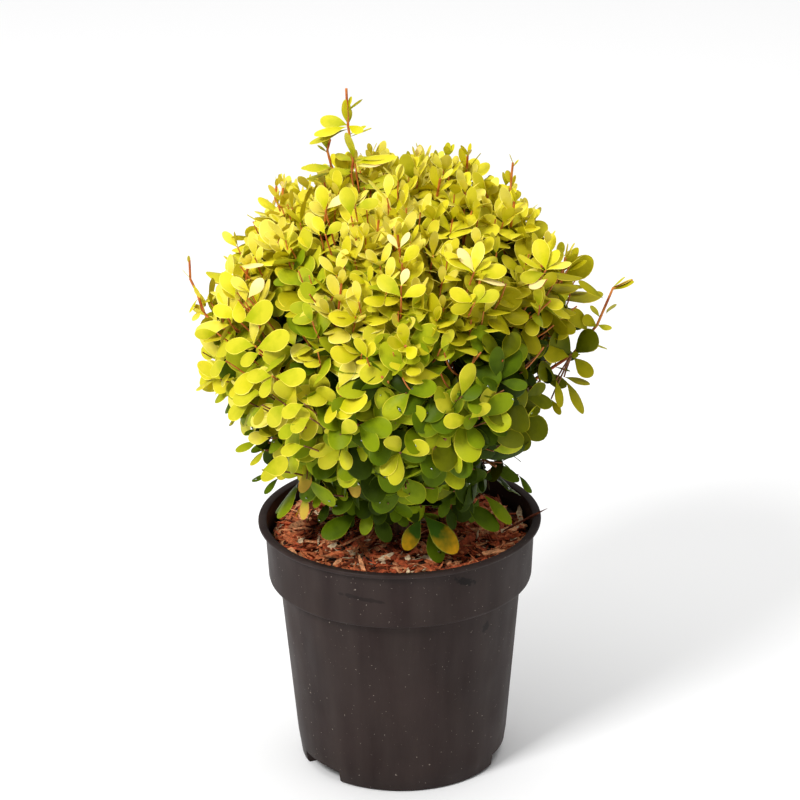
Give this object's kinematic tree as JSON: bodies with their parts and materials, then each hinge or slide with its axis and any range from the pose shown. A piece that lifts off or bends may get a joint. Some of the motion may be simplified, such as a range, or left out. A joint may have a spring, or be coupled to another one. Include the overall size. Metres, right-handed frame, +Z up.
{
  "type": "potted barberry",
  "caption": "Golden-leaved barberry shrub, rounded and dense with a few long shoots, growing in a tapered round nursery pot with a deep collar and rolled rim.",
  "frame": {"origin": "middle of the pot's flat underside, on the surface that it stands on", "axes": "+Z up along the pot's axis, -Y towards the side that the picture shows, +X to its right"},
  "size_m": [0.3031, 0.2836, 0.473],
  "materials": {
    "black_plastic": "moulded, matt, a little dusty",
    "potting_soil": "crumbly and matt",
    "bark_mulch": "shredded bark, matt",
    "barberry_bark": "smooth young bark, orange-brown",
    "leaf_green": "satin leaf",
    "leaf_lime": "satin leaf",
    "leaf_gold": "satin leaf",
    "leaf_bright_gold": "satin leaf"
  },
  "bodies": {
    "root": {"pot": "black_plastic", "potting_soil": "potting_soil", "bark_mulch": "bark_mulch", "stem": "barberry_bark", "bough_skirt_1": "barberry_bark", "bough_skirt_2": "barberry_bark", "bough_skirt_3": "barberry_bark", "bough_skirt_4": "barberry_bark", "bough_skirt_5": "barberry_bark", "bough_belt_1": "barberry_bark", "bough_belt_2": "barberry_bark", "bough_belt_3": "barberry_bark", "bough_belt_4": "barberry_bark", "bough_belt_5": "barberry_bark", "bough_belt_6": "barberry_bark", "bough_shoulder_1": "barberry_bark", "bough_shoulder_2": "barberry_bark", "bough_shoulder_3": "barberry_bark", "bough_shoulder_4": "barberry_bark", "bough_shoulder_5": "barberry_bark", "bough_top": "barberry_bark", "leaves_skirt_1": "leaf_green", "leaves_skirt_2": "leaf_green", "leaves_skirt_3": "leaf_green", "leaves_skirt_4": "leaf_green", "leaves_skirt_5": "leaf_green", "leaves_belt_1": "leaf_lime", "leaves_belt_2": "leaf_lime", "leaves_belt_3": "leaf_lime", "leaves_belt_4": "leaf_lime", "leaves_belt_5": "leaf_lime", "leaves_belt_6": "leaf_lime", "leaves_shoulder_1": "leaf_gold", "leaves_shoulder_2": "leaf_gold", "leaves_shoulder_3": "leaf_gold", "leaves_shoulder_4": "leaf_gold", "leaves_shoulder_5": "leaf_gold", "leaves_top": "leaf_bright_gold"}
  },
  "joints": []
}
